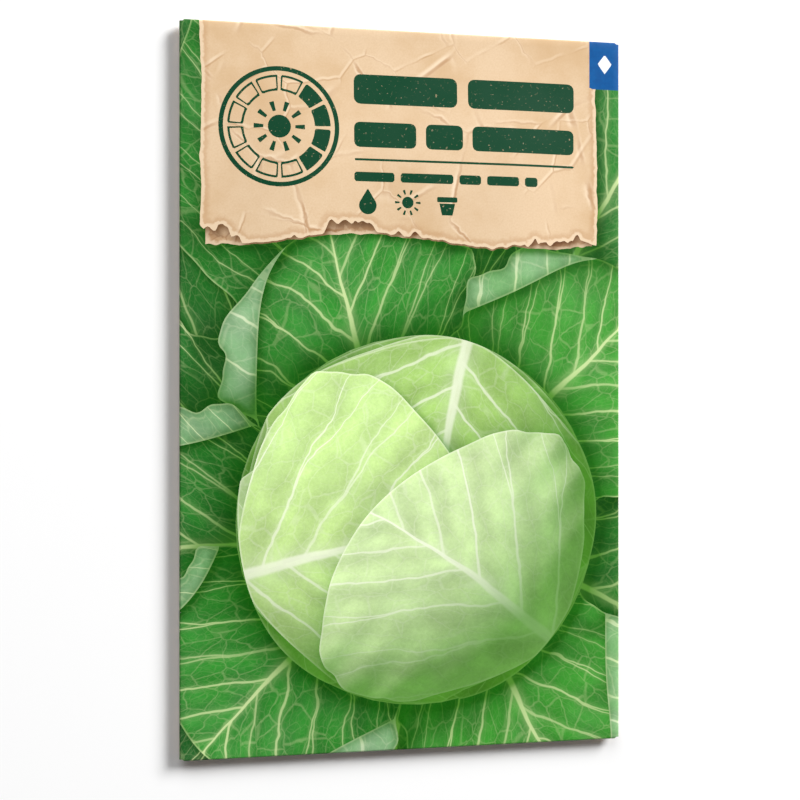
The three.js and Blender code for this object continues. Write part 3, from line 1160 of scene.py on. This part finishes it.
def glassine_material():
    """Smooth, greaseproof bag paper with faint clouds and calender marks."""
    graph = Graph("glassine")
    place = graph.object_place()
    cloud = place.noise(240.0, detail=5, roughness=0.65)
    marks = (place * (900.0, 60.0, 60.0)).noise(1.0, detail=3)
    graph.bump(marks, 0.2, 0.00003)
    colour = cloud.step(0.3, 0.7).between(srgb(222, 219, 203), srgb(240, 238, 226))
    return graph.finish(colour, cloud.step(0.3, 0.7, 0.28, 0.42), specular=0.5)


def glue_material():
    """Dried glue, smeared across the packet."""
    graph = Graph("dried_glue")
    smear = (graph.object_place() * (150.0, 700.0, 300.0)).noise(1.0, detail=4)
    graph.bump(smear, 0.3, 0.00005)
    colour = smear.step(0.3, 0.7).between(srgb(236, 228, 200), srgb(247, 243, 226))
    return graph.finish(colour, smear.step(0.3, 0.7, 0.25, 0.5), specular=0.5)


def seed_material():
    """A brown, finely pitted seed coat."""
    graph = Graph("seed_coat")
    place = graph.object_place()
    tint = place.noise(420.0, detail=3)
    pits = place.cells(5200.0, "F1")
    graph.bump(pits, 0.5, 0.00004)
    colour = tint.step(0.35, 0.65).between(srgb(62, 38, 28), srgb(104, 66, 44))
    # Darker towards the middle of each pit: painted shade in the pits' hollows.
    colour = colour.mixed(pits.step(0.5, 0.1, 0.0, 0.4), srgb(36, 22, 18))
    return graph.finish(colour, tint.step(0.3, 0.7, 0.45, 0.65))


# The printed sheet's materials, in the order of its slots.
SHEET_MATERIALS = {
    "leaf": leaf_material,
    "kraft": kraft_material,
    "ink": lambda: stamped_kraft("printed_ink", INK),
    "tab": lambda: flat_print("printed_tab", srgb(0, 80, 146), srgb(0, 90, 158)),
    "mark": lambda: flat_print("printed_mark", srgb(240, 244, 248), srgb(250, 252, 255)),
    "back_kraft": lambda: stamped_kraft("back_kraft", None, BACK_CRUMPLED),
    "back_ink": lambda: stamped_kraft("back_ink", INK, BACK_CRUMPLED),
    "inside": lambda: plain_paper("packet_inside", srgb(226, 224, 214), srgb(242, 241, 234)),
    "cut_edge": lambda: plain_paper("packet_cut_edge", srgb(232, 230, 220), srgb(247, 246, 240)),
}

# ---------------- the pieces


def add_object(name, data):
    made = bpy.data.objects.new(name, data)
    bpy.context.scene.collection.objects.link(made)
    return made


def build_packet():
    mesh = packet_mesh()
    for make in SHEET_MATERIALS.values():
        mesh.materials.append(make())
    packet = add_object("printed_packet", mesh)
    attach(packet, "root")
    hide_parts("packet_sheet")


def dress_frame_nodes():
    """The CAD's own bag, glue lines and seeds stay, with finished materials."""
    glassine, glue, coat = glassine_material(), glue_material(), seed_material()
    for name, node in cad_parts.items():
        if name == "packet_sheet":
            continue
        material = coat if name.startswith("seed_") else glue if "glue" in name else glassine
        for slot in node.material_slots:
            slot.material = material


# ---------------- stage, light and camera


FLOOR_HALF = 3.0
FLOOR_GAP = 0.05 * MM  # keeps the floor's plane clear of the packet's back
SKY_STRENGTH = 0.075

# Each lamp is a square at a distance from the packet, in metres, with its side and its power.
LAMP_DISTANCE = 3.0
LAMPS = {
    "light_right": ((1.0, 0.05, 0.86), 0.36, 4.0),
    "light_top_right": ((0.9, 0.8, 0.8), 1.3, 127.0),
    "light_top": ((-0.3, 1.0, 0.8), 2.0, 43.0),
}

CAMERA_TURN = math.radians(12.0)  # how far the view is turned from square on, from the left
CAMERA_PLACE = (-66.3, -2.15, 308.0)
CAMERA_LENS = 63.1


def build_floor():
    mesh = bpy.data.meshes.new("floor")
    corners = [(-1, -1), (1, -1), (1, 1), (-1, 1)]
    places = [(x * FLOOR_HALF, y * FLOOR_HALF, -FLOOR_GAP) for x, y in corners]
    mesh.from_pydata(places, [], [(0, 1, 2, 3)])
    graph = Graph("pale_floor")
    even = graph.object_place().noise(3.0, detail=2)
    colour = even.between((0.93, 0.93, 0.93), (0.95, 0.95, 0.95))
    mesh.materials.append(graph.finish(colour, 0.9, specular=0.1))
    add_object("floor", mesh)


def build_lights():
    """Square lamps that shine on the packet from three directions, and a faint pale sky."""
    for name, (direction, side, power) in LAMPS.items():
        lamp = bpy.data.lights.new(name, "AREA")
        lamp.size = side
        lamp.energy = power
        light = add_object(name, lamp)
        towards_lamp = Vector(direction).normalized()
        light.location = towards_lamp * LAMP_DISTANCE
        light.rotation_mode = "QUATERNION"
        light.rotation_quaternion = towards_lamp.to_track_quat("Z", "Y")
    world = bpy.data.worlds.new("studio")
    world.use_nodes = True
    sky = world.node_tree.nodes["Background"].inputs
    sky["Color"].default_value = (1.0, 1.0, 1.0, 1.0)
    sky["Strength"].default_value = SKY_STRENGTH
    bpy.context.scene.world = world


def build_camera():
    data = bpy.data.cameras.new("camera")
    data.sensor_width = 36.0
    data.lens = CAMERA_LENS
    data.clip_start = 0.01
    camera = add_object("camera", data)
    right = (math.cos(CAMERA_TURN), 0, math.sin(CAMERA_TURN))
    back = (-math.sin(CAMERA_TURN), 0, math.cos(CAMERA_TURN))
    turned = Matrix((right, (0, 1, 0), back)).transposed().to_4x4()
    camera.matrix_world = Matrix.Translation(Vector(CAMERA_PLACE) * MM) @ turned
    bpy.context.scene.camera = camera


bpy.context.scene.view_settings.view_transform = "Standard"
build_camera()
build_packet()
dress_frame_nodes()
build_floor()
build_lights()
